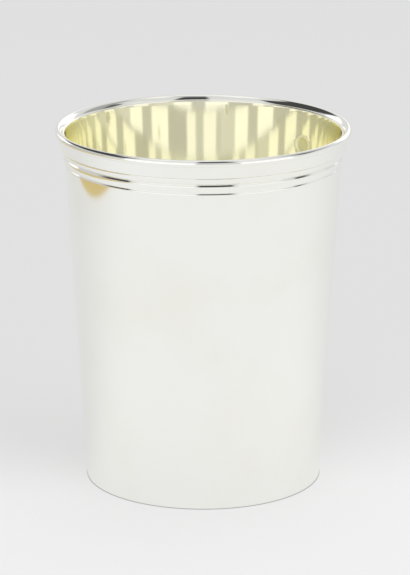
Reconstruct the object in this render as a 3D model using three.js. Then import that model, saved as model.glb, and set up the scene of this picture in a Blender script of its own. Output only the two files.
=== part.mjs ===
// A tapered silver drinking beaker with a gilt inside, standing on the rim of its foot.
// Every piece is turned about the Z axis. Millimetres, +Z up, foot on the plane z = 0.
import * as THREE from 'three';

// Overall form
const OVERALL_HEIGHT = 88;
const FOOT_RADIUS = 28.85;         // outer face of the wall, where its taper meets the table
const LIP_RADIUS = 36;          // widest point of the lip

// Wall
const WALL_THICKNESS = 0.35;
const WALL_TOP_DROP = 1.2;      // top edge of the wall below the crown of the lip
const WALL_TOP_ROUND = 0.2;
const FOOT_EDGE_ROUND = 0.18;
const SEAT_DEPTH = 0.15;        // shallow seat turned in the wall for the lip and the reeds
const SEAT_SHOULDER = 0.55;     // rounded upper edge of the wall below the lower reed

// Lip wire, a drawn moulding round the mouth: a rolled edge over a hollow
const LIP_HEIGHT = 4.6;
const LIP_PROJECTION = 2;     // widest point outside the face of the wall at its top edge
const LIP_FOOT_DEPTH = 1.05;    // radial thickness at the foot of the hollow
const LIP_BELLY_DROP = 1;       // widest point below the crown
const LIP_BELLY_WIDTH = 0.8;    // widest point outside the crown
const LIP_UNDERSIDE = 0.75;     // depth of the roll under its widest point
const LIP_UNDER_TURN = 60;      // degrees that the roll turns under before the hollow starts
const HOLLOW_SPREAD = 0.35;     // corner of the hollow's curve, as a share of its width
const HOLLOW_LIFT = 0.54;       // that corner, as a share of its height
const LIP_INNER_WIDTH = 1.22;   // foot of the sloping inner face, inside the crown
const LIP_INNER_DROP = 1.02;    // that foot below the crown
const LIP_INNER_FULLNESS = 0.47; // corner of the inner face's curve, as a share of its width
const LIP_EDGE_WIDTH = 1.27;    // inner edge of the lip inside the crown, where the gilding ends
const LIP_EDGE_RISE = 0.06;     // that edge above the top edge of the wall

// Reed wires under the lip
const REED_FOOT_DEPTH = 0.08;   // radial thickness left at a reed's thin lower edge
const LOWER_REED_HEIGHT = 2.1;
const LOWER_REED_DEPTH = 0.41;  // radial thickness at the crown
const LOWER_REED_SHOULDER = 0.7;
const UPPER_REED_HEIGHT = 1.55;
const UPPER_REED_DEPTH = 0.98;
const UPPER_REED_SHOULDER = 0.12;
const UPPER_REED_TOP_DEPTH = 0.88;

// Base disc, let into the foot of the wall
const BASE_THICKNESS = 0.9;
const BASE_RECESS = 0.8;        // edge of the disc above the table
const BASE_DOME_RISE = 1;       // middle of the disc above its edge
const SOLDER_CLEARANCE = 0.2;   // solder fillet under the disc, above the table
const SOLDER_GAP = 0.05;        // film of solder between two silver pieces

// Gilding, drawn thicker than the plated layer that it stands for
const GILT_THICKNESS = 0.08;
const GILT_CORNER = 1.2;        // soft inside corner between the floor and the wall

// Fineness of the turned surfaces
const TURN_SEGMENTS = 56;
const HOLLOW_STEPS = 6;
const DOME_STEPS = 5;
const ROUND_STEPS = 4;

const RIGHT_ANGLE = Math.PI / 2;

const wallTopZ = OVERALL_HEIGHT - WALL_TOP_DROP;
const mouthRadius = LIP_RADIUS - LIP_PROJECTION;
const taper = Math.atan2(mouthRadius - FOOT_RADIUS, wallTopZ);
const lipFootZ = OVERALL_HEIGHT - LIP_HEIGHT;
const upperReedZ = lipFootZ - SOLDER_GAP - UPPER_REED_HEIGHT;
const lowerReedZ = upperReedZ - SOLDER_GAP - LOWER_REED_HEIGHT;
const seatZ = lowerReedZ - SOLDER_GAP;

const point = (radius, z) => new THREE.Vector2(radius, z);

const crown = point(LIP_RADIUS - LIP_BELLY_WIDTH, OVERALL_HEIGHT);
const lipInside = point(crown.x - LIP_INNER_WIDTH, crown.y - LIP_INNER_DROP);
const lipEdge = point(crown.x - LIP_EDGE_WIDTH, wallTopZ + LIP_EDGE_RISE);

// Radius of the wall at a height, at a depth below its outer face.
function wallRadius(z, depth = 0) {
  return FOOT_RADIUS + z * Math.tan(taper) - depth / Math.cos(taper);
}

// Back of a wire that lies in the seat, a film of solder away from it.
function seatRadius(z) {
  return wallRadius(z, SEAT_DEPTH - SOLDER_GAP);
}

// Points on an ellipse about (radius, z), from one angle to another.
function arc(radius, z, halfWidth, halfHeight, fromAngle, toAngle, steps = ROUND_STEPS) {
  return Array.from({ length: steps + 1 }, (_, step) => {
    const angle = fromAngle + (toAngle - fromAngle) * step / steps;
    return point(radius + halfWidth * Math.cos(angle), z + halfHeight * Math.sin(angle));
  });
}

// A curve that leaves one point and reaches another without touching their corner.
function curve(start, corner, end, steps = ROUND_STEPS) {
  return new THREE.QuadraticBezierCurve(start, corner, end).getPoints(steps);
}

// Rounded inner edge of the wall's top, at a depth below its inner face, from the top inwards.
function mouthEdge(skin) {
  const centreZ = wallTopZ - WALL_TOP_ROUND;
  const centre = wallRadius(centreZ, WALL_THICKNESS - WALL_TOP_ROUND);
  const round = WALL_TOP_ROUND + skin;
  return arc(centre, centreZ, round, round, RIGHT_ANGLE, Math.PI - taper);
}

// A piece turned from its outline, which runs up the outside and down the inside.
function turned(name, outline, material) {
  const closesOnAxis = outline[0].x === 0;
  const profile = closesOnAxis ? outline : [...outline, outline[0]];
  const geometry = new THREE.LatheGeometry(profile, TURN_SEGMENTS);
  geometry.rotateX(RIGHT_ANGLE);
  const mesh = new THREE.Mesh(geometry, material);
  mesh.name = name;
  return mesh;
}

function polishedSilver() {
  return new THREE.MeshStandardMaterial({ color: 0xecebe6, roughness: 0.12, metalness: 1 });
}

function palerSolder() {
  return new THREE.MeshStandardMaterial({ color: 0xd9d8d2, roughness: 0.4, metalness: 1 });
}

function lemonGilding() {
  return new THREE.MeshStandardMaterial({ color: 0xe6dd9a, roughness: 0.14, metalness: 1 });
}

// Tapered sleeve with its rounded foot, and the seat for the reeds and the lip.
function bodyWall() {
  const footCentre = wallRadius(FOOT_EDGE_ROUND, FOOT_EDGE_ROUND);
  const shoulderZ = seatZ - SEAT_SHOULDER;
  const seatAtShoulder = wallRadius(shoulderZ, SEAT_DEPTH);
  const shoulderWidth = wallRadius(shoulderZ) - seatAtShoulder;
  return turned('body_wall', [
    point(wallRadius(0, WALL_THICKNESS), 0),
    ...arc(footCentre, FOOT_EDGE_ROUND, FOOT_EDGE_ROUND, FOOT_EDGE_ROUND, -RIGHT_ANGLE, -taper),
    ...arc(seatAtShoulder, shoulderZ, shoulderWidth, SEAT_SHOULDER, 0, RIGHT_ANGLE),
    point(wallRadius(wallTopZ, SEAT_DEPTH), wallTopZ),
    ...mouthEdge(0),
  ], polishedSilver());
}

// One reed: a thin lower edge, a face that swells to its crown, and a rounded upper shoulder.
function reed(name, bottomZ, height, depth, shoulder, topDepth) {
  const topZ = bottomZ + height;
  const crownZ = topZ - shoulder;
  const crownRadius = seatRadius(crownZ) + depth;
  const footEdge = seatRadius(bottomZ) + REED_FOOT_DEPTH;
  const topEdge = seatRadius(topZ) + topDepth;
  return turned(name, [
    point(seatRadius(bottomZ), bottomZ),
    ...arc(footEdge, crownZ, crownRadius - footEdge, crownZ - bottomZ, -RIGHT_ANGLE, 0),
    ...arc(topEdge, crownZ, crownRadius - topEdge, shoulder, 0, RIGHT_ANGLE).slice(1),
    point(seatRadius(topZ), topZ),
  ], polishedSilver());
}

// Lip wire: a hollow that rises from the reeds, a roll and an inner face that slopes to the wall.
function lipWire() {
  const bellyZ = OVERALL_HEIGHT - LIP_BELLY_DROP;
  const underTurn = THREE.MathUtils.degToRad(LIP_UNDER_TURN);
  const underside = arc(crown.x, bellyZ, LIP_BELLY_WIDTH, LIP_UNDERSIDE, -underTurn, 0);
  const hollowFoot = point(seatRadius(lipFootZ) + LIP_FOOT_DEPTH, lipFootZ);
  const hollowTop = underside[0];
  const hollowCorner = point(
    THREE.MathUtils.lerp(hollowFoot.x, hollowTop.x, HOLLOW_SPREAD),
    THREE.MathUtils.lerp(hollowFoot.y, hollowTop.y, HOLLOW_LIFT),
  );
  const innerCorner = point(crown.x - LIP_INNER_WIDTH * LIP_INNER_FULLNESS, OVERALL_HEIGHT);
  return turned('lip_wire', [
    point(seatRadius(lipFootZ), lipFootZ),
    ...curve(hollowFoot, hollowCorner, hollowTop, HOLLOW_STEPS),
    ...underside.slice(1),
    ...arc(crown.x, bellyZ, LIP_BELLY_WIDTH, LIP_BELLY_DROP, 0, RIGHT_ANGLE).slice(1),
    ...curve(crown, innerCorner, lipInside).slice(1),
    lipEdge,
    point(seatRadius(wallTopZ), wallTopZ),
  ], polishedSilver());
}

// One face of the domed base disc, from the axis to its edge, at a height above its underside.
function baseFace(height) {
  const edgeZ = BASE_RECESS + height;
  const edgeRadius = wallRadius(edgeZ, WALL_THICKNESS + SOLDER_GAP);
  const sphere = (edgeRadius ** 2 + BASE_DOME_RISE ** 2) / (2 * BASE_DOME_RISE);
  return Array.from({ length: DOME_STEPS + 1 }, (_, step) => {
    const radius = edgeRadius * step / DOME_STEPS;
    return point(radius, edgeZ + BASE_DOME_RISE - sphere + Math.sqrt(sphere ** 2 - radius ** 2));
  });
}

function baseDisc() {
  return turned('base_disc', [
    ...baseFace(0),
    ...baseFace(BASE_THICKNESS).reverse(),
  ], polishedSilver());
}

// Ring of solder in the corner between the underside of the disc and the wall.
function baseSolderFillet() {
  const topZ = BASE_RECESS - SOLDER_GAP;
  const bottomZ = SOLDER_CLEARANCE;
  const leg = topZ - bottomZ;
  const wallSide = (z) => wallRadius(z, WALL_THICKNESS + SOLDER_GAP);
  const hollowCentre = wallSide(topZ) - leg;
  return turned('base_solder_fillet', [
    point(hollowCentre, topZ),
    ...arc(hollowCentre, bottomZ, wallSide(bottomZ) - hollowCentre, leg, RIGHT_ANGLE, 0).slice(1),
    point(wallSide(topZ), topZ),
  ], palerSolder());
}

// Gilt skin over the top of the base disc, the whole inside of the wall and its rounded top edge.
function giltLining() {
  const underFloor = baseFace(BASE_THICKNESS);
  const cornerZ = BASE_RECESS + BASE_THICKNESS;
  const skinDepth = WALL_THICKNESS + GILT_THICKNESS;
  const corner = point(wallRadius(cornerZ + GILT_THICKNESS, skinDepth), cornerZ + GILT_THICKNESS);
  const cornerTopZ = corner.y + GILT_CORNER;
  const floorEdge = point(corner.x - GILT_CORNER, corner.y);
  const skinEnd = lipEdge.clone().lerp(lipInside, GILT_THICKNESS / (lipInside.y - lipEdge.y));
  const floorRise = BASE_DOME_RISE;
  const floorSphere = (floorEdge.x ** 2 + floorRise ** 2) / (2 * floorRise);
  const floor = Array.from({ length: DOME_STEPS }, (_, step) => {
    const radius = floorEdge.x * (1 - (step + 1) / DOME_STEPS);
    return point(radius, corner.y + floorRise - floorSphere + Math.sqrt(floorSphere ** 2 - radius ** 2));
  });
  return turned('gilt_lining', [
    ...underFloor,
    point(wallRadius(cornerZ, WALL_THICKNESS), cornerZ),
    ...mouthEdge(0).reverse(),
    point(seatRadius(wallTopZ), wallTopZ),
    lipEdge,
    skinEnd,
    ...mouthEdge(GILT_THICKNESS),
    ...curve(point(wallRadius(cornerTopZ, skinDepth), cornerTopZ), corner, floorEdge),
    ...floor,
  ], lemonGilding());
}

const beaker = new THREE.Group();
beaker.name = 'silver_beaker';
beaker.add(
  bodyWall(),
  baseDisc(),
  baseSolderFillet(),
  reed('lower_reed', lowerReedZ, LOWER_REED_HEIGHT, LOWER_REED_DEPTH, LOWER_REED_SHOULDER, REED_FOOT_DEPTH),
  reed(
    'upper_reed', upperReedZ, UPPER_REED_HEIGHT, UPPER_REED_DEPTH, UPPER_REED_SHOULDER, UPPER_REED_TOP_DEPTH,
  ),
  lipWire(),
  giltLining(),
);

export default beaker;
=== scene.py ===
import math

import bpy
from bpy.props import FloatProperty, FloatVectorProperty, IntProperty, PointerProperty
from bpy.types import Operator, Panel, PropertyGroup
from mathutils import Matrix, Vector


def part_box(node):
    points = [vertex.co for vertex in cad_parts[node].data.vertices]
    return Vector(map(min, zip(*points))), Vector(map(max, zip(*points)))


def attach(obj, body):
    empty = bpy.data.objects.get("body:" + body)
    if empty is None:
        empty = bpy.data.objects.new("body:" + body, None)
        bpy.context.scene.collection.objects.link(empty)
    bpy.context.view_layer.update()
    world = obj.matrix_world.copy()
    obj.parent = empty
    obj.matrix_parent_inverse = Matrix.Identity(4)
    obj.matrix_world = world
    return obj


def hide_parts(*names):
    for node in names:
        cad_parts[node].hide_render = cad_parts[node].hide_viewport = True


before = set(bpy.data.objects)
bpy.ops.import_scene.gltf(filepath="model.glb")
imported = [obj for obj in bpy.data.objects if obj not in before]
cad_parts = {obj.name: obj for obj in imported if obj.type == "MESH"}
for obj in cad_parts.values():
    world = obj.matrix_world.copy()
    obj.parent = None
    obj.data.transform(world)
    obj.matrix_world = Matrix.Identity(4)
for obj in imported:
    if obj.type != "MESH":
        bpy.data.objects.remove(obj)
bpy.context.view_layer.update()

bl_info = {
    "name": "Silver Beaker",
    "version": (1, 0, 0),
    "blender": (4, 5, 0),
    "location": "View3D > Sidebar > Beaker",
    "description": "Turns and finishes a polished silver beaker with a gilt inside",
    "category": "Mesh",
}

BODY = "root"
RIGHT_ANGLE = math.pi / 2
FULL_TURN = 2 * math.pi
SMOOTH_ANGLE = math.radians(32)


def reach(node):
    """Radius, lowest point and highest point of a turned node of the frame."""
    low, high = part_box(node)
    return high.x, low.z, high.z


LIP_RADIUS, LIP_FOOT, LIP_TOP = reach("lip_wire")
_, FOOT_PLANE, WALL_TOP = reach("body_wall")
LOWER_CROWN, LOWER_FOOT, LOWER_TOP = reach("lower_reed")
UPPER_CROWN, UPPER_FOOT, UPPER_TOP = reach("upper_reed")
DISC_RADIUS, DISC_EDGE, DISC_CROWN = reach("base_disc")
FILLET_RADIUS, FILLET_FOOT, FILLET_TOP = reach("base_solder_fillet")
_, GILT_FLOOR, _ = reach("gilt_lining")
SOLDER_GAP = LIP_FOOT - UPPER_TOP

# Panels of the studio as the metal sees them: middle, half width, low and high edge in degrees, soft
# edge, brightness. Azimuth 0 is the camera's side and turns to the right; later panels lie over earlier.
STUDIO_PANELS = (
    (180, 130, 66, 100, 4, 0.95),
    (55, 24, 72, 86, 3, 0.42),
    (158, 21, 6, 28, 3, 1.14),
    (-139, 16, 6, 28, 3, 1.14),
    (-112, 44, 23, 56, 3, 0.06),
    (112, 14, 23, 59, 4, 0.38),
    (94, 8, 23, 45, 3, 0.12),
    (-95, 30, 4, 25, 3, 0.62),
    (-108, 28, -20, 5, 2, 0.28),
    (95, 25, -8, 23, 3, 0.8),
    (12, 18, 66, 82, 4, 0.4),
    (12, 18, 35, 69, 4, 0.06),
    (12, 17, -8, 36, 3, 0.66),
    (-34, 28, 22, 49, 4, 0.86),
    (51, 22, 22, 49, 4, 0.86),
    (-34, 28, -8, 23, 2, 1.2),
    (51, 22, -8, 23, 2, 1.2),
)


def length(label, what, metres):
    """A length property in metres."""
    return FloatProperty(name=label, description=what, default=metres, min=0.0, precision=5, unit="LENGTH")


def angle(label, what, degrees):
    """An angle property, given in degrees."""
    return FloatProperty(name=label, description=what, default=math.radians(degrees), unit="ROTATION")


def share(label, what, value):
    """A property between nothing and all."""
    return FloatProperty(name=label, description=what, default=value, min=0.0, max=1.0, subtype="FACTOR")


def colour(label, what, rgb):
    """A linear colour property."""
    return FloatVectorProperty(
        name=label, description=what, default=rgb, size=3, min=0.0, max=1.0, subtype="COLOR"
    )


def location(label, what, metres):
    """A place property in metres."""
    return FloatVectorProperty(name=label, description=what, default=metres, size=3, subtype="TRANSLATION")


class BeakerSizes(PropertyGroup):
    """Sizes of the turned pieces that the frame's boxes don't give."""

    foot_radius: length("Foot radius", "Outer face of the wall where its taper meets the table", 0.02885)
    wall: length("Wall", "Thickness of the sheet silver", 0.00035)
    wall_top: length("Wall top", "Rounding of the wall's top edge inside", 0.0002)
    foot_edge: length("Foot edge", "Rounding of the foot rim outside", 0.00026)
    foot_burr: length("Foot burr", "Rounding of the foot rim inside", 0.00006)
    seat_depth: length("Seat", "Depth of the seat turned for the lip and the reeds", 0.00015)
    groove: length("Groove", "Depth of the groove between the wall and the reeds", 0.00022)
    groove_flank: length("Groove flank", "Height of the sloping edge of the wall below the reeds", 0.00038)
    reed_edge: length("Reed edge", "Thickness left at a reed's lower edge", 0.00008)
    lower_shoulder: length("Lower shoulder", "Sloping top of the lower reed", 0.0005)
    lower_top: length("Lower reed top", "Thickness of the lower reed at its top", 0.0001)
    upper_shoulder: length("Upper shoulder", "Rounded top of the upper reed", 0.00012)
    upper_top: length("Upper reed top", "Thickness of the upper reed at its top", 0.00088)
    lower_fullness: share("Lower fullness", "Swell of the lower reed's top over a plain slope", 0.0)
    upper_fullness: share("Upper fullness", "Swell of the upper reed's top over a plain slope", 0.8)
    lip_projection: length("Lip projection", "Widest point of the lip outside the wall's face", 0.002)
    lip_foot: length("Lip foot", "Thickness of the lip at the foot of its hollow", 0.00105)
    lip_edge: length("Lip edge", "Softened edge at the foot of the hollow", 0.00008)
    belly_drop: length("Belly drop", "Widest point of the lip below its crown", 0.001)
    belly_width: length("Belly width", "Widest point of the lip outside its crown", 0.0008)
    underside: length("Underside", "Depth of the roll under its widest point", 0.00075)
    under_turn: angle("Under turn", "How far the roll turns under before the hollow", 60)
    hollow_spread: share("Hollow spread", "Corner of the hollow's curve across its width", 0.35)
    hollow_lift: share("Hollow lift", "Corner of the hollow's curve up its height", 0.54)
    inner_width: length("Inner width", "Foot of the lip's sloping inner face, inside its crown", 0.00122)
    inner_drop: length("Inner drop", "That foot below the crown", 0.00102)
    inner_fullness: share("Inner fullness", "Corner of the inner face's curve across its width", 0.47)
    edge_width: length("Edge width", "Inner edge of the lip inside its crown", 0.00127)
    edge_rise: length("Edge rise", "Inner edge of the lip above the wall's top edge", 0.00006)
    disc: length("Base disc", "Thickness of the base disc", 0.0009)
    gilt: length("Gilding", "Thickness drawn for the gilding", 0.00008)
    gilt_corner: length("Gilt corner", "Soft corner between the floor and the wall inside", 0.0012)
    edge_hold: length("Edge hold", "Gap between the close points that keep an edge crisp", 0.0001)
    turning_steps: IntProperty(
        name="Turning steps", description="Facets round a full turn", default=288, min=24
    )


class BeakerMark(PropertyGroup):
    """The blank round stamp struck in the lining."""

    around: angle("Around", "Place of the stamp round the beaker, from the right towards the back", 41.3)
    height: length("Height", "Middle of the stamp above the table", 0.07802)
    recess: length("Recess", "Radius of the struck recess", 0.0019)
    rim: length("Rim", "Radius of the raised metal round the recess", 0.0025)
    depth: length("Depth", "Depth of the recess", 0.00003)
    burr: length("Burr", "Height of the raised metal", 0.00002)
    soft: length("Soft edge", "Soft edge of the stamp's finish", 0.0001)
    ring_satin: share("Ring satin", "Roughness added on the raised metal", 0.12)
    field_satin: share("Field satin", "Roughness added in the recess", 0.15)
    sector: angle("Sector", "Finely turned sector on each side of the stamp", 5)
    sector_steps: IntProperty(
        name="Sector steps", description="Facets across the fine sector", default=64, min=8
    )
    zone: length("Zone", "Half height of the finely turned zone", 0.002625)
    rows: IntProperty(name="Rows", description="Rows of facets down the fine zone", default=52, min=8)


class BeakerFinish(PropertyGroup):
    """Colours and polish of the metals."""

    silver: colour("Silver", "Clean polished silver", (0.968, 0.972, 0.93))
    silver_warm: colour("Warm silver", "Silver with a breath of tarnish", (0.95, 0.945, 0.885))
    silver_polish: share("Silver polish", "Roughness of the outside", 0.06)
    lip_polish: share("Lip polish", "Roughness of the lip and the reeds", 0.04)
    gilt: colour("Gilding", "Pale lemon gilding", (0.97, 0.962, 0.878))
    gilt_deep: colour("Deep gilding", "Gilding where it lies thicker", (0.966, 0.955, 0.86))
    gilt_struck: colour("Struck gilding", "Gilding pressed thin in the stamp", (0.8, 0.78, 0.6))
    gilt_polish: share("Gilt polish", "Roughness of the inside", 0.045)
    base: colour("Base", "Silver under the foot", (0.93, 0.93, 0.89))
    base_polish: share("Base polish", "Roughness under the foot", 0.2)
    solder: colour("Solder", "Silver solder", (0.8, 0.79, 0.75))
    wall_lines: length("Wall lines", "Depth of the polishing lines on the wall", 4e-8)
    wire_lines: length("Wire lines", "Depth of the polishing lines on the lip and the reeds", 2e-8)
    base_rings: length("Base rings", "Depth of the turned rings under the foot", 2e-6)
    solder_grain: length("Solder grain", "Depth of the grain of the solder", 3e-5)
    gilt_waves: length("Gilt waves", "Depth of the slow waves inside", 2e-5)
    gilt_streaks: length("Gilt streaks", "Depth of the upright streaks inside", 1e-7)


class BeakerStudio(PropertyGroup):
    """Camera, floor and light of the plain studio."""

    camera_back: length("Camera back", "Camera in front of the turning axis", 0.7566)
    camera_height: length("Camera height", "Camera above the table", 0.2643)
    camera_side: length("Camera side", "Camera to the right of the turning axis", 0.00044)
    camera_pitch: angle("Camera pitch", "How far the camera looks down", 16.0)
    camera_lens: FloatProperty(name="Lens", description="Focal length in mm", default=200.8, min=1.0)
    camera_sensor: FloatProperty(name="Sensor", description="Sensor width in mm", default=36.0, min=1.0)
    floor_radius: length("Floor radius", "Round floor under the beaker", 6.0)
    floor_front: colour("Floor in front", "Floor at the foot and in front of it", (0.86, 0.86, 0.86))
    # Painted shade: the floor behind the beaker is given a darker colour where less light reaches it.
    floor_back_shade: colour("Floor behind", "Floor behind the beaker", (0.74, 0.74, 0.74))
    # Painted shadow: the floor is coloured darker in a thin ring under and round the foot.
    floor_painted_shadow: colour("Floor at the foot", "Floor where the foot shades it", (0.4, 0.4, 0.4))
    contact_start: length("Contact start", "Radius where the foot's line on the floor begins", 0.0291)
    contact_full: length("Contact full", "Radius where that line is darkest", 0.02875)
    floor_matte: share("Floor matte", "Share of the floor's tone that the light gives", 0.36)
    floor_glow: share("Floor glow", "Share of the floor's tone shown to the camera and the metal alone", 0.7)
    board: colour("Board", "Warm board lying to the left, seen only in the metal", (0.76, 0.62, 0.29))
    board_deep: colour("Deep board", "Darker grain of the board", (0.7, 0.54, 0.23))
    board_size: length("Board size", "Side of the square board", 0.6)
    board_place: location("Board place", "Middle of the board", (-0.538, 0.068, 0.002))
    board_turn: angle("Board turn", "How far the board is turned from the beaker's axes", -3.5)
    lamp_power: FloatProperty(
        name="Lamp", description="Power of the soft light overhead", default=14.0, min=0.0, unit="POWER"
    )
    lamp_size: length("Lamp size", "Side of the square light overhead", 2.2)
    lamp_place: location("Lamp place", "Middle of the light overhead", (0.0, -0.2, 2.0))
    surround: share("Surround", "Brightness of the studio between its panels", 0.72)
    backdrop: share("Backdrop", "Brightness of the background that the camera sees", 0.75)
    bounces: IntProperty(
        name="Bounces", description="How often light is followed from metal to metal", default=32, min=1
    )


def taper(sizes):
    """Lean of the wall from the vertical."""
    return math.atan2(LIP_RADIUS - sizes.lip_projection - sizes.foot_radius, WALL_TOP)


def wall_radius(sizes, height, depth=0.0):
    """Radius of the wall at a height, at a depth below its outer face."""
    lean = taper(sizes)
    return sizes.foot_radius + height * math.tan(lean) - depth / math.cos(lean)


def seat_radius(sizes, height):
    """Back of a wire that lies in the seat, a film of solder away from it."""
    return wall_radius(sizes, height, sizes.seat_depth - SOLDER_GAP)


def between(start, end, part):
    """The place a part of the way from one place to another."""
    return tuple(a + (b - a) * part for a, b in zip(start, end))


def arc(centre, half_width, half_height, start, end, steps):
    """Points on an ellipse in the turning plane, as (radius, height)."""
    angles = [start + (end - start) * step / steps for step in range(steps + 1)]
    return [
        (centre[0] + half_width * math.cos(turn), centre[1] + half_height * math.sin(turn))
        for turn in angles
    ]


def straight(start, end, steps, hold=0.0):
    """Points from one end to the other, with a close pair at each end to hold the edge."""
    run = math.dist(start, end)
    parts = [step / steps for step in range(steps + 1)]
    if hold:
        parts = [0.0, hold / run, *parts[1:-1], 1.0 - hold / run, 1.0]
    return [between(start, end, part) for part in parts]


def dome(edge, rise, steps):
    """A shallow dome from the axis out to its edge."""
    radius, height = edge
    sphere = (radius * radius + rise * rise) / (2 * rise)
    places = [radius * step / steps for step in range(steps + 1)]
    return [(place, height + rise - sphere + math.sqrt(sphere * sphere - place * place)) for place in places]


def soft_corner(start, corner, end, steps):
    """A curve that leaves one line and joins another in place of their corner."""
    parts = [step / steps for step in range(steps + 1)]
    return [between(between(start, corner, part), between(corner, end, part), part) for part in parts]


def joined(*runs):
    """One outline from several runs, with repeated points left out."""
    outline = []
    for run in runs:
        for place in run:
            if not outline or math.dist(place, outline[-1]) > 1e-8:
                outline.append(place)
    return outline


def mouth_edge(sizes, skin, steps):
    """Rounded inner edge of the wall's top under a skin, from the top inwards."""
    height = WALL_TOP - sizes.wall_top
    centre = (wall_radius(sizes, height, sizes.wall - sizes.wall_top), height)
    rounding = sizes.wall_top + skin
    return arc(centre, rounding, rounding, RIGHT_ANGLE, math.pi - taper(sizes), steps)


def lip_places(sizes):
    """Crown of the lip, the foot of its sloping inner face, and its inner edge."""
    crown = (LIP_RADIUS - sizes.belly_width, LIP_TOP)
    inside = (crown[0] - sizes.inner_width, LIP_TOP - sizes.inner_drop)
    edge = (crown[0] - sizes.edge_width, WALL_TOP + sizes.edge_rise)
    return crown, inside, edge


def trace_outline(name, outline):
    """Start a piece as one point and extrude it along its outline."""
    bpy.ops.object.select_all(action="DESELECT")
    bpy.ops.mesh.primitive_plane_add(size=0.001)
    piece = bpy.context.object
    piece.name = name
    piece.data.name = name
    bpy.ops.object.mode_set(mode="EDIT")
    bpy.ops.mesh.select_all(action="SELECT")
    bpy.ops.mesh.merge(type="CENTER")
    last = (0.0, 0.0)
    for step, place in enumerate(outline):
        move = {"value": (place[0] - last[0], 0.0, place[1] - last[1])}
        if step == 0:
            bpy.ops.transform.translate(**move)
        else:
            bpy.ops.mesh.extrude_region_move(TRANSFORM_OT_translate=move)
        last = place
    return piece


def turn_outline(piece, sectors):
    """Turn the traced outline about the Z axis, sector by sector, and close it."""
    bpy.ops.mesh.select_all(action="SELECT")
    for sector, steps in sectors:
        bpy.ops.mesh.spin(steps=steps, angle=sector, center=(0, 0, 0), axis=(0, 0, 1))
    bpy.ops.mesh.select_all(action="SELECT")
    bpy.ops.mesh.remove_doubles(threshold=1e-6)
    bpy.ops.mesh.normals_make_consistent(inside=False)
    bpy.ops.object.mode_set(mode="OBJECT")
    bpy.ops.object.shade_smooth_by_angle(angle=SMOOTH_ANGLE)
    return piece


def turned(name, outline, sizes):
    """A piece turned evenly all round."""
    return turn_outline(trace_outline(name, outline), [(FULL_TURN, sizes.turning_steps)])


def finish_piece(piece, material, node):
    """Give a piece its finish and put it in the frame in place of its node."""
    piece.data.materials.clear()
    piece.data.materials.append(material)
    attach(piece, BODY)
    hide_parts(node)


def feed(tree, socket, value):
    """Link a socket to another, or set its value."""
    if isinstance(value, bpy.types.NodeSocket):
        tree.links.new(value, socket)
    else:
        socket.default_value = value


def maths(tree, operation, *values):
    """A maths node and its result."""
    node = tree.nodes.new("ShaderNodeMath")
    node.operation = operation
    for socket, value in zip(node.inputs, values):
        feed(tree, socket, value)
    return node.outputs[0]


def smooth_step(tree, value, start, end):
    """Nothing before the start, all after the end, with a soft change between them."""
    node = tree.nodes.new("ShaderNodeMapRange")
    node.interpolation_type = "SMOOTHSTEP"
    feed(tree, node.inputs["Value"], value)
    feed(tree, node.inputs["From Min"], start)
    feed(tree, node.inputs["From Max"], end)
    return node.outputs["Result"]


def mix(tree, kind, factor, first, second):
    """A mix of two colours or values."""
    node = tree.nodes.new("ShaderNodeMix")
    node.data_type = kind
    place = {"FLOAT": 2, "RGBA": 6}[kind]
    feed(tree, node.inputs[0], factor)
    feed(tree, node.inputs[place], first)
    feed(tree, node.inputs[place + 1], second)
    return node.outputs[{"FLOAT": 0, "RGBA": 2}[kind]]


def noise(tree, place, stretch, detail):
    """Noise on object coordinates, stretched along each axis."""
    mapping = tree.nodes.new("ShaderNodeMapping")
    feed(tree, mapping.inputs["Vector"], place)
    mapping.inputs["Scale"].default_value = stretch
    node = tree.nodes.new("ShaderNodeTexNoise")
    feed(tree, node.inputs["Vector"], mapping.outputs["Vector"])
    node.inputs["Scale"].default_value = 1.0
    node.inputs["Detail"].default_value = detail
    return node.outputs["Fac"]


def split(tree, vector):
    """The X, Y and Z of a vector."""
    node = tree.nodes.new("ShaderNodeSeparateXYZ")
    feed(tree, node.inputs["Vector"], vector)
    return node.outputs


def axis_distance(tree, parts):
    """Distance from the turning axis."""
    squares = [maths(tree, "MULTIPLY", parts[name], parts[name]) for name in ("X", "Y")]
    return maths(tree, "SQRT", maths(tree, "ADD", *squares))


def bearing(tree, parts):
    """Degrees round the turning axis, from the camera's side towards the right."""
    towards = maths(tree, "MULTIPLY", parts["Y"], -1.0)
    return maths(tree, "DEGREES", maths(tree, "ARCTAN2", parts["X"], towards))


def new_group(name, inputs, outputs):
    """An empty node group with its input and output sockets."""
    group = bpy.data.node_groups.new(name, "ShaderNodeTree")
    for label, kind in inputs.items():
        group.interface.new_socket(name=label, in_out="INPUT", socket_type=kind)
    for label, kind in outputs.items():
        group.interface.new_socket(name=label, in_out="OUTPUT", socket_type=kind)
    return group, group.nodes.new("NodeGroupInput").outputs, group.nodes.new("NodeGroupOutput").inputs


def use_group(tree, name, values):
    """Put a shared group in a tree and feed its inputs."""
    node = tree.nodes.new("ShaderNodeGroup")
    node.node_tree = bpy.data.node_groups[name]
    for label, value in values.items():
        feed(tree, node.inputs[label], value)
    return node.outputs


def make_polish_group():
    """Fine lines that buffing leaves, as a height and as a change of roughness."""
    group, given, result = new_group(
        "Polishing Lines",
        {"Place": "NodeSocketVector", "Polish": "NodeSocketFloat"},
        {"Height": "NodeSocketFloat", "Roughness": "NodeSocketFloat"},
    )
    lines = noise(group, given["Place"], stretch=(400, 400, 9000), detail=3)
    cloud = noise(group, given["Place"], stretch=(45, 45, 45), detail=3)
    feed(group, result["Height"], lines)
    part = maths(group, "ADD", maths(group, "MULTIPLY", cloud, 0.5), maths(group, "MULTIPLY", lines, 0.3))
    strength = maths(group, "ADD", part, 0.6)
    feed(group, result["Roughness"], maths(group, "MULTIPLY", given["Polish"], strength))


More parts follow.
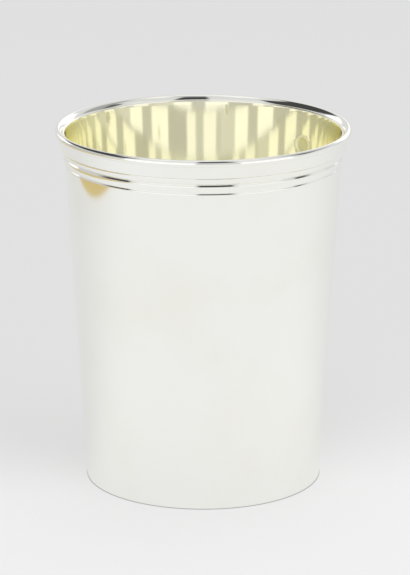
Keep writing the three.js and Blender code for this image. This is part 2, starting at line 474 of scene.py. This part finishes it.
def make_streak_group():
    """Upright streaks and slow waves inside the beaker, as a height and as a change of roughness."""
    group, given, result = new_group(
        "Upright Streaks",
        {"Place": "NodeSocketVector", "Polish": "NodeSocketFloat"},
        {"Streaks": "NodeSocketFloat", "Waves": "NodeSocketFloat", "Roughness": "NodeSocketFloat"},
    )
    streaks = noise(group, given["Place"], stretch=(1500, 1500, 30), detail=2)
    feed(group, result["Streaks"], streaks)
    feed(group, result["Waves"], noise(group, given["Place"], stretch=(70, 70, 40), detail=1))
    strength = maths(group, "ADD", streaks, 0.5)
    feed(group, result["Roughness"], maths(group, "MULTIPLY", given["Polish"], strength))


def make_tarnish_group():
    """Soft cloudy change between a clean colour and a warmer one."""
    group, given, result = new_group(
        "Soft Tarnish",
        {"Place": "NodeSocketVector", "Clean": "NodeSocketColor", "Warm": "NodeSocketColor"},
        {"Colour": "NodeSocketColor"},
    )
    cloud = noise(group, given["Place"], stretch=(38, 38, 38), detail=4)
    cloud = smooth_step(group, cloud, 0.45, 0.75)
    feed(group, result["Colour"], mix(group, "RGBA", cloud, given["Clean"], given["Warm"]))


def make_turning_group():
    """Rings that a turning tool leaves on a face across the axis."""
    group, given, result = new_group(
        "Turned Rings", {"Place": "NodeSocketVector"}, {"Height": "NodeSocketFloat"}
    )
    waves_per_metre = 16000.0
    radius = axis_distance(group, split(group, given["Place"]))
    feed(group, result["Height"], maths(group, "SINE", maths(group, "MULTIPLY", radius, waves_per_metre)))


def make_stamp_group():
    """Raised ring of the struck stamp and the field inside it, as masks."""
    group, given, result = new_group(
        "Struck Ring",
        {
            "Place": "NodeSocketVector", "Middle": "NodeSocketVector",
            "Recess": "NodeSocketFloat", "Rim": "NodeSocketFloat", "Soft": "NodeSocketFloat",
        },
        {"Ring": "NodeSocketFloat", "Field": "NodeSocketFloat"},
    )
    apart = group.nodes.new("ShaderNodeVectorMath")
    apart.operation = "DISTANCE"
    feed(group, apart.inputs[0], given["Place"])
    feed(group, apart.inputs[1], given["Middle"])
    gap = apart.outputs["Value"]
    field_end = maths(group, "SUBTRACT", given["Recess"], given["Soft"])
    ring_end = maths(group, "ADD", given["Rim"], given["Soft"])
    beyond = smooth_step(group, gap, field_end, given["Recess"])
    within = smooth_step(group, gap, ring_end, given["Rim"])
    feed(group, result["Ring"], maths(group, "MULTIPLY", beyond, within))
    feed(group, result["Field"], maths(group, "SUBTRACT", 1.0, beyond))


def make_panel_group():
    """A soft-edged panel of the studio, as a mask over the directions of the world."""
    names = ("Azimuth", "Elevation", "Middle", "Half Width", "Low", "High", "Edge")
    group, given, result = new_group(
        "Soft Panel", {name: "NodeSocketFloat" for name in names}, {"Mask": "NodeSocketFloat"}
    )
    turn = maths(group, "WRAP", maths(group, "SUBTRACT", given["Azimuth"], given["Middle"]), 180.0, -180.0)
    offset = maths(group, "ABSOLUTE", turn)

    def side(value, limit, sign):
        outer = maths(group, "MULTIPLY_ADD", given["Edge"], sign, limit)
        inner = maths(group, "MULTIPLY_ADD", given["Edge"], -sign, limit)
        return smooth_step(group, value, outer, inner)

    across = side(offset, given["Half Width"], 1.0)
    up = maths(
        group, "MULTIPLY",
        side(given["Elevation"], given["Low"], -1.0),
        side(given["Elevation"], given["High"], 1.0),
    )
    feed(group, result["Mask"], maths(group, "MULTIPLY", across, up))


def make_floor_group():
    """Painted shade and painted shadow on the floor: its tone darkens from its front to its back, where less
    light reaches it behind the beaker, and a painted shadow darkens the ring where the foot stands.
    """
    group, given, result = new_group(
        "Painted Floor Shade And Grain",
        {"Place": "NodeSocketVector", "Contact Start": "NodeSocketFloat", "Contact Full": "NodeSocketFloat"},
        {"Back": "NodeSocketFloat", "Painted Shadow": "NodeSocketFloat", "Grain": "NodeSocketFloat"},
    )
    # Painted shade: the floor's colour darkens round from the front to the back between these bearings.
    bright_until = 58.0
    dim_from = 130.0
    right_share = 0.8
    parts = split(group, given["Place"])
    turn = bearing(group, parts)
    left = maths(group, "MULTIPLY", turn, -1.0)
    right = maths(group, "MULTIPLY", turn, right_share)
    round_it = maths(group, "MAXIMUM", left, right)
    feed(group, result["Back"], smooth_step(group, round_it, bright_until, dim_from))
    # Painted shadow mask: dark under the foot, fading out just beyond its rim.
    away = axis_distance(group, parts)
    feed(group, result["Painted Shadow"], smooth_step(group, away, given["Contact Start"], given["Contact Full"]))
    feed(group, result["Grain"], noise(group, given["Place"], stretch=(9, 9, 9), detail=3))


def new_material(name):
    """A material, its tree, its shader and the object coordinates."""
    material = bpy.data.materials.new(name)
    material.use_nodes = True
    tree = material.node_tree
    shader = tree.nodes["Principled BSDF"]
    place = tree.nodes.new("ShaderNodeTexCoord").outputs["Object"]
    return material, tree, shader, place


def bump(tree, shader, height, distance, below=None):
    """Roughen the shader's normal by a height in metres, over an earlier bump if there is one."""
    node = tree.nodes.new("ShaderNodeBump")
    node.inputs["Distance"].default_value = distance
    feed(tree, node.inputs["Height"], height)
    if below:
        feed(tree, node.inputs["Normal"], below)
    feed(tree, shader.inputs["Normal"], node.outputs["Normal"])
    return node.outputs["Normal"]


def new_metal(name, clean, warm):
    """A metal with a breath of tarnish: its material, tree, shader, coordinates and colour."""
    material, tree, shader, place = new_material(name)
    shader.inputs["Metallic"].default_value = 1.0
    tint = use_group(tree, "Soft Tarnish", {"Place": place, "Clean": (*clean, 1), "Warm": (*warm, 1)})
    feed(tree, shader.inputs["Base Color"], tint["Colour"])
    return material, tree, shader, place, tint["Colour"]


def silver_material(name, finish, polish, line_height):
    """Polished silver with the fine lines of its buffing."""
    material, tree, shader, place, _ = new_metal(name, finish.silver, finish.silver_warm)
    lines = use_group(tree, "Polishing Lines", {"Place": place, "Polish": polish})
    feed(tree, shader.inputs["Roughness"], lines["Roughness"])
    bump(tree, shader, lines["Height"], line_height)
    return material


class BEAKER_OT_stage(Operator):
    """Set the floor, the soft studio and the camera"""

    bl_idname = "beaker.stage"
    bl_label = "Stage"

    def execute(self, context):
        scene = context.scene
        studio = scene.beaker_studio
        self.floor(studio)
        self.board(studio)
        self.lamp(studio)
        self.world(scene, studio)
        self.camera(scene, studio)
        scene.view_settings.view_transform = "Standard"
        scene.cycles.max_bounces = studio.bounces
        scene.cycles.glossy_bounces = studio.bounces
        return {"FINISHED"}

    def floor(self, studio):
        """Round pale floor that is clear from below, with painted shade behind the beaker and a painted
        shadow round its foot.
        """
        bpy.ops.object.select_all(action="DESELECT")
        bpy.ops.mesh.primitive_circle_add(vertices=96, radius=studio.floor_radius, fill_type="NGON")
        floor = bpy.context.object
        floor.name = "floor"
        material, tree, shader, place = new_material("Pale floor")
        tone = use_group(tree, "Painted Floor Shade And Grain", {
            "Place": place, "Contact Start": studio.contact_start, "Contact Full": studio.contact_full,
        })
        # Painted shade: the floor's colour darkens from the front round to the back.
        sheet = mix(tree, "RGBA", tone["Back"], (*studio.floor_front, 1), (*studio.floor_back_shade, 1))
        # Painted shadow: a dark ring on the floor under and round the foot.
        plain = mix(tree, "RGBA", tone["Painted Shadow"], sheet, (*studio.floor_painted_shadow, 1))
        feed(tree, shader.inputs["Base Color"], mix(tree, "RGBA", studio.floor_matte, (0, 0, 0, 1), plain))
        feed(tree, shader.inputs["Emission Color"], plain)
        rays = tree.nodes.new("ShaderNodeLightPath").outputs
        seen = maths(tree, "MAXIMUM", rays["Is Camera Ray"], rays["Is Glossy Ray"])
        feed(tree, shader.inputs["Emission Strength"], maths(tree, "MULTIPLY", seen, studio.floor_glow))
        feed(tree, shader.inputs["Roughness"], maths(tree, "MULTIPLY_ADD", tone["Grain"], 0.1, 0.85))
        shader.inputs["Specular IOR Level"].default_value = 0.0
        clear = tree.nodes.new("ShaderNodeBsdfTransparent")
        sides = tree.nodes.new("ShaderNodeMixShader")
        feed(tree, sides.inputs[0], tree.nodes.new("ShaderNodeNewGeometry").outputs["Backfacing"])
        feed(tree, sides.inputs[1], shader.outputs["BSDF"])
        feed(tree, sides.inputs[2], clear.outputs["BSDF"])
        feed(tree, tree.nodes["Material Output"].inputs["Surface"], sides.outputs["Shader"])
        floor.data.materials.append(material)

    def board(self, studio):
        """Warm board on the floor that shows only in the metal."""
        bpy.ops.object.select_all(action="DESELECT")
        bpy.ops.mesh.primitive_plane_add(
            size=studio.board_size, location=studio.board_place, rotation=(0.0, 0.0, studio.board_turn)
        )
        bpy.ops.object.transform_apply(location=True, rotation=True, scale=True)
        board = bpy.context.object
        board.name = "warm_board"
        material, tree, shader, place = new_material("Warm board")
        grain = noise(tree, place, stretch=(12, 60, 12), detail=3)
        warm = mix(tree, "RGBA", grain, (*studio.board, 1), (*studio.board_deep, 1))
        feed(tree, shader.inputs["Base Color"], warm)
        shader.inputs["Roughness"].default_value = 0.8
        shader.inputs["Specular IOR Level"].default_value = 0.0
        board.data.materials.append(material)
        board.visible_camera = False
        board.visible_diffuse = False
        board.visible_shadow = False

    def lamp(self, studio):
        """Soft square light overhead, left out of the reflections."""
        bpy.ops.object.select_all(action="DESELECT")
        bpy.ops.object.light_add(type="AREA", location=studio.lamp_place)
        lamp = bpy.context.object
        lamp.name = "overhead_light"
        lamp.data.size = studio.lamp_size
        lamp.data.energy = studio.lamp_power
        lamp.visible_glossy = False
        lamp.visible_camera = False

    def world(self, scene, studio):
        """Studio of soft panels for the metal, and an even background for the camera."""
        world = bpy.data.worlds.new("Studio")
        scene.world = world
        world.use_nodes = True
        tree = world.node_tree
        parts = split(tree, tree.nodes.new("ShaderNodeTexCoord").outputs["Generated"])
        azimuth = bearing(tree, parts)
        elevation = maths(tree, "DEGREES", maths(tree, "ARCSINE", parts["Z"]))
        level = studio.surround
        for middle, half_width, low, high, edge, brightness in STUDIO_PANELS:
            panel = use_group(tree, "Soft Panel", {
                "Azimuth": azimuth, "Elevation": elevation, "Middle": middle, "Half Width": half_width,
                "Low": low, "High": high, "Edge": edge,
            })
            level = mix(tree, "FLOAT", panel["Mask"], level, brightness)
        seen = tree.nodes.new("ShaderNodeLightPath").outputs["Is Camera Ray"]
        shown = mix(tree, "FLOAT", seen, level, studio.backdrop)
        feed(tree, tree.nodes["Background"].inputs["Color"], shown)

    def camera(self, scene, studio):
        """Camera in front of the beaker, looking down on its mouth."""
        place = (studio.camera_side, -studio.camera_back, studio.camera_height)
        turn = (RIGHT_ANGLE - studio.camera_pitch, 0.0, 0.0)
        bpy.ops.object.camera_add(location=place, rotation=turn)
        camera = bpy.context.object
        camera.name = "photo_camera"
        camera.data.sensor_width = studio.camera_sensor
        camera.data.lens = studio.camera_lens
        scene.camera = camera


class BEAKER_OT_body_wall(Operator):
    """Turn the tapered wall with its foot rim and the seat for the lip and the reeds"""

    bl_idname = "beaker.body_wall"
    bl_label = "Body wall"

    def execute(self, context):
        sizes = context.scene.beaker_sizes
        finish = context.scene.beaker_finish
        inner_start = (wall_radius(sizes, sizes.foot_burr, sizes.wall), sizes.foot_burr)
        burr_centre = (inner_start[0] + sizes.foot_burr, sizes.foot_burr)
        foot_centre = (wall_radius(sizes, sizes.foot_edge, sizes.foot_edge), sizes.foot_edge)
        groove_top = LOWER_FOOT - SOLDER_GAP
        flank_foot = groove_top - sizes.groove_flank
        foot = arc(foot_centre, sizes.foot_edge, sizes.foot_edge, -RIGHT_ANGLE, -taper(sizes), 8)
        flank_start = (wall_radius(sizes, flank_foot), flank_foot)
        flank = straight(flank_start, (wall_radius(sizes, groove_top, sizes.groove), groove_top), 6)
        seat_top = (wall_radius(sizes, WALL_TOP, sizes.seat_depth), WALL_TOP)
        mouth = mouth_edge(sizes, 0.0, 8)
        outline = joined(
            arc(burr_centre, sizes.foot_burr, sizes.foot_burr, math.pi, math.pi + RIGHT_ANGLE, 5),
            straight((burr_centre[0], FOOT_PLANE), (foot_centre[0], FOOT_PLANE), 2),
            foot,
            straight(foot[-1], flank_start, 40, sizes.edge_hold),
            flank,
            straight(flank[-1], seat_top, 6),
            straight(seat_top, mouth[0], 2),
            mouth,
            straight(mouth[-1], inner_start, 16),
        )
        piece = turned("turned_wall", outline, sizes)
        material = silver_material("Wall silver", finish, finish.silver_polish, finish.wall_lines)
        finish_piece(piece, material, "body_wall")
        return {"FINISHED"}


class BEAKER_OT_base(Operator):
    """Turn the domed base disc and the ring of solder that holds it"""

    bl_idname = "beaker.base"
    bl_label = "Base disc and solder"

    def base_material(self, finish):
        """Silver with the rings of the turning tool."""
        material, tree, shader, place, _ = new_metal("Turned base silver", finish.base, finish.silver_warm)
        rings = use_group(tree, "Turned Rings", {"Place": place})
        lines = use_group(tree, "Polishing Lines", {"Place": place, "Polish": finish.base_polish})
        feed(tree, shader.inputs["Roughness"], lines["Roughness"])
        bump(tree, shader, rings["Height"], finish.base_rings)
        return material

    def solder_material(self, finish):
        """Solder with a fine satin grain."""
        material, tree, shader, place, _ = new_metal("Satin solder", finish.solder, finish.silver_warm)
        grain = noise(tree, place, stretch=(2500, 2500, 2500), detail=4)
        feed(tree, shader.inputs["Roughness"], maths(tree, "MULTIPLY_ADD", grain, 0.3, 0.25))
        bump(tree, shader, grain, finish.solder_grain)
        return material

    def execute(self, context):
        sizes = context.scene.beaker_sizes
        finish = context.scene.beaker_finish
        rise = DISC_CROWN - DISC_EDGE - sizes.disc
        top_edge = (DISC_RADIUS, DISC_EDGE + sizes.disc)
        under_edge = (wall_radius(sizes, DISC_EDGE, sizes.wall + SOLDER_GAP), DISC_EDGE)
        outline = joined(
            dome(under_edge, rise, 24),
            straight(under_edge, top_edge, 3),
            dome(top_edge, rise, 24)[::-1],
        )
        disc = turned("domed_base", outline, sizes)
        finish_piece(disc, self.base_material(finish), "base_disc")

        leg = FILLET_TOP - FILLET_FOOT
        hollow = (FILLET_RADIUS - leg, FILLET_FOOT)
        foot_radius = wall_radius(sizes, FILLET_FOOT, sizes.wall + SOLDER_GAP)
        outline = joined(
            arc(hollow, foot_radius - hollow[0], leg, RIGHT_ANGLE, 0, 10),
            [(FILLET_RADIUS, FILLET_TOP)],
            straight((FILLET_RADIUS, FILLET_TOP), (hollow[0], FILLET_TOP), 2),
        )
        ring = turned("solder_ring", outline, sizes)
        finish_piece(ring, self.solder_material(finish), "base_solder_fillet")
        return {"FINISHED"}


class BEAKER_OT_reeds(Operator):
    """Turn the two reed wires under the lip"""

    bl_idname = "beaker.reeds"
    bl_label = "Reed wires"

    def reed(self, sizes, name, crown, foot, top, shoulder, top_depth, fullness):
        """A wire that swells from a thin lower edge to its crown and falls to its top."""
        swell = top - shoulder
        foot_back = (seat_radius(sizes, foot), foot)
        top_back = (seat_radius(sizes, top), top)
        foot_edge = (foot_back[0] + sizes.reed_edge, swell)
        top_edge = (top_back[0] + top_depth, top)
        slope = between((crown, swell), top_edge, 0.5)
        corner = between(slope, (crown, top), fullness)
        outline = joined(
            [foot_back],
            arc(foot_edge, crown - foot_edge[0], swell - foot, -RIGHT_ANGLE, 0, 24),
            soft_corner((crown, swell), corner, top_edge, 14),
            straight(top_edge, top_back, 2),
            straight(top_back, foot_back, 3),
        )
        return turned(name, outline, sizes)

    def execute(self, context):
        sizes = context.scene.beaker_sizes
        finish = context.scene.beaker_finish
        lower = self.reed(
            sizes, "lower_reed_wire", LOWER_CROWN, LOWER_FOOT, LOWER_TOP,
            sizes.lower_shoulder, sizes.lower_top, sizes.lower_fullness,
        )
        upper = self.reed(
            sizes, "upper_reed_wire", UPPER_CROWN, UPPER_FOOT, UPPER_TOP,
            sizes.upper_shoulder, sizes.upper_top, sizes.upper_fullness,
        )
        material = silver_material("Reed silver", finish, finish.lip_polish, finish.wire_lines)
        finish_piece(lower, material, "lower_reed")
        finish_piece(upper, material, "upper_reed")
        return {"FINISHED"}


class BEAKER_OT_lip(Operator):
    """Turn the lip wire, a rolled edge over a hollow"""

    bl_idname = "beaker.lip"
    bl_label = "Lip wire"

    def execute(self, context):
        sizes = context.scene.beaker_sizes
        finish = context.scene.beaker_finish
        crown, inside, edge = lip_places(sizes)
        belly = (crown[0], LIP_TOP - sizes.belly_drop)
        under = arc(belly, sizes.belly_width, sizes.underside, -sizes.under_turn, 0, 12)
        back_foot = (seat_radius(sizes, LIP_FOOT), LIP_FOOT)
        back_top = (seat_radius(sizes, WALL_TOP), WALL_TOP)
        hollow_foot = (back_foot[0] + sizes.lip_foot, LIP_FOOT)
        hollow_corner = (
            hollow_foot[0] + (under[0][0] - hollow_foot[0]) * sizes.hollow_spread,
            hollow_foot[1] + (under[0][1] - hollow_foot[1]) * sizes.hollow_lift,
        )
        hollow = soft_corner(hollow_foot, hollow_corner, under[0], 24)
        inner_corner = (crown[0] - sizes.inner_width * sizes.inner_fullness, LIP_TOP)
        outline = joined(
            [back_foot],
            soft_corner((hollow_foot[0] - sizes.lip_edge, LIP_FOOT), hollow_foot, hollow[1], 4),
            hollow[2:],
            under,
            arc(belly, sizes.belly_width, sizes.belly_drop, 0, RIGHT_ANGLE, 16),
            soft_corner(crown, inner_corner, inside, 20),
            straight(inside, edge, 2),
            straight(edge, back_top, 2),
            straight(back_top, back_foot, 4),
        )
        piece = turned("lip_rim", outline, sizes)
        material = silver_material("Lip silver", finish, finish.lip_polish, finish.wire_lines)
        finish_piece(piece, material, "lip_wire")
        return {"FINISHED"}


class BEAKER_OT_gilt_lining(Operator):
    """Turn the gilt skin over the inside and strike a blank round stamp in it"""

    bl_idname = "beaker.gilt_lining"
    bl_label = "Gilt lining"

    def gilt_material(self, finish, mark, middle):
        """Bright gilding with upright streaks, duller in the stamp."""
        material, tree, shader, place, tint = new_metal("Pale gilding", finish.gilt, finish.gilt_deep)
        marks = use_group(tree, "Upright Streaks", {"Place": place, "Polish": finish.gilt_polish})
        stamp = use_group(tree, "Struck Ring", {
            "Place": place, "Middle": middle, "Recess": mark.recess, "Rim": mark.rim, "Soft": mark.soft,
        })
        satin = maths(tree, "MULTIPLY_ADD", stamp["Ring"], mark.ring_satin, marks["Roughness"])
        satin = maths(tree, "MULTIPLY_ADD", stamp["Field"], mark.field_satin, satin)
        struck = mix(tree, "RGBA", stamp["Field"], tint, (*finish.gilt_struck, 1))
        feed(tree, shader.inputs["Base Color"], struck)
        feed(tree, shader.inputs["Roughness"], satin)
        waves = bump(tree, shader, marks["Waves"], finish.gilt_waves)
        bump(tree, shader, marks["Streaks"], finish.gilt_streaks, waves)
        return material

    def strike(self, piece, mark, name, strength, profile):
        """Push the inner face in or out round the stamp, by a weight at each distance from its middle."""
        group = piece.vertex_groups.new(name=name)
        inner = wall_radius(bpy.context.scene.beaker_sizes, mark.height)
        for vertex in piece.data.vertices:
            x, y, z = vertex.co
            turn = math.atan2(y, x) - mark.around
            gap = math.hypot(inner * turn, z - mark.height)
            if gap < 2 * mark.rim and vertex.normal.x * x + vertex.normal.y * y < 0:
                group.add([vertex.index], profile(gap), "REPLACE")
        push = piece.modifiers.new(name, "DISPLACE")
        push.vertex_group = name
        push.mid_level = 0.0
        push.strength = strength
        bpy.ops.object.modifier_apply(modifier=name)

    def execute(self, context):
        sizes = context.scene.beaker_sizes
        mark = context.scene.beaker_mark
        finish = context.scene.beaker_finish
        skin = sizes.wall + sizes.gilt
        crown, inside, edge = lip_places(sizes)
        rise = DISC_CROWN - DISC_EDGE - sizes.disc
        floor_level = GILT_FLOOR + sizes.gilt
        corner = (wall_radius(sizes, floor_level, skin), floor_level)
        corner_top = floor_level + sizes.gilt_corner
        wall_end = (wall_radius(sizes, corner_top, skin), corner_top)
        floor_edge = (corner[0] - sizes.gilt_corner, floor_level)
        outer_corner = (wall_radius(sizes, GILT_FLOOR, sizes.wall), GILT_FLOOR)
        outer_mouth = mouth_edge(sizes, 0.0, 6)[::-1]
        inner_mouth = mouth_edge(sizes, sizes.gilt, 12)
        edge_back = (seat_radius(sizes, WALL_TOP), WALL_TOP)
        skin_end = between(edge, inside, sizes.gilt / (inside[1] - edge[1]))
        zone = [mark.height + mark.zone, mark.height - mark.zone]
        zone_top, zone_foot = [(wall_radius(sizes, height, skin), height) for height in zone]
        outline = joined(
            dome((DISC_RADIUS, GILT_FLOOR), rise, 12),
            [outer_corner],
            straight(outer_corner, outer_mouth[0], 10),
            outer_mouth,
            straight(outer_mouth[-1], edge_back, 2),
            straight(edge_back, edge, 2),
            straight(edge, skin_end, 2),
            straight(skin_end, inner_mouth[0], 3),
            inner_mouth,
            straight(inner_mouth[-1], zone_top, 8),
            straight(zone_top, zone_foot, mark.rows),
            straight(zone_foot, wall_end, 40),
            soft_corner(wall_end, corner, floor_edge, 10),
            dome(floor_edge, rise, 20)[::-1],
        )
        step = FULL_TURN / sizes.turning_steps
        before = mark.around - mark.sector
        after = FULL_TURN - mark.around - mark.sector
        piece = turn_outline(trace_outline("gilt_inside", outline), [
            (before, round(before / step)),
            (2 * mark.sector, mark.sector_steps),
            (after, round(after / step)),
        ])

        def pressed(gap):
            part = min(1.0, max(0.0, (mark.recess - gap) / (mark.rim - mark.recess)))
            return part * part * (3 - 2 * part)

        def raised(gap):
            middle = (mark.recess + mark.rim) / 2
            return max(0.0, 1.0 - ((gap - middle) / (mark.rim - middle)) ** 2)

        self.strike(piece, mark, "pressed", -mark.depth, pressed)
        self.strike(piece, mark, "raised", mark.burr, raised)
        face = wall_radius(sizes, mark.height, skin)
        middle = (face * math.cos(mark.around), face * math.sin(mark.around), mark.height)
        finish_piece(piece, self.gilt_material(finish, mark, middle), "gilt_lining")
        return {"FINISHED"}


class BEAKER_PT_panel(Panel):
    """Lists the pieces of the beaker and their sizes"""

    bl_label = "Silver beaker"
    bl_idname = "BEAKER_PT_panel"
    bl_space_type = "VIEW_3D"
    bl_region_type = "UI"
    bl_category = "Beaker"

    def draw(self, context):
        for operator in PIECE_OPERATORS:
            self.layout.operator(operator.bl_idname)
        scene = context.scene
        for group in (scene.beaker_sizes, scene.beaker_mark, scene.beaker_finish, scene.beaker_studio):
            for name in group.__annotations__:
                self.layout.prop(group, name)


PIECE_OPERATORS = (
    BEAKER_OT_stage,
    BEAKER_OT_body_wall,
    BEAKER_OT_base,
    BEAKER_OT_reeds,
    BEAKER_OT_lip,
    BEAKER_OT_gilt_lining,
)
SETTINGS = {
    "beaker_sizes": BeakerSizes,
    "beaker_mark": BeakerMark,
    "beaker_finish": BeakerFinish,
    "beaker_studio": BeakerStudio,
}
CLASSES = (*SETTINGS.values(), *PIECE_OPERATORS, BEAKER_PT_panel)


def register():
    """Add the settings, the operators and the panel to Blender."""
    for item in CLASSES:
        bpy.utils.register_class(item)
    for name, group in SETTINGS.items():
        setattr(bpy.types.Scene, name, PointerProperty(type=group))


def unregister():
    """Take the settings, the operators and the panel out again."""
    for name in SETTINGS:
        delattr(bpy.types.Scene, name)
    for item in reversed(CLASSES):
        bpy.utils.unregister_class(item)


def main():
    """Build the stage and every piece."""
    register()
    make_polish_group()
    make_streak_group()
    make_tarnish_group()
    make_turning_group()
    make_stamp_group()
    make_panel_group()
    make_floor_group()

    bpy.ops.beaker.stage()
    bpy.ops.beaker.body_wall()
    bpy.ops.beaker.base()
    bpy.ops.beaker.reeds()
    bpy.ops.beaker.lip()
    bpy.ops.beaker.gilt_lining()


if __name__ == "__main__":
    main()
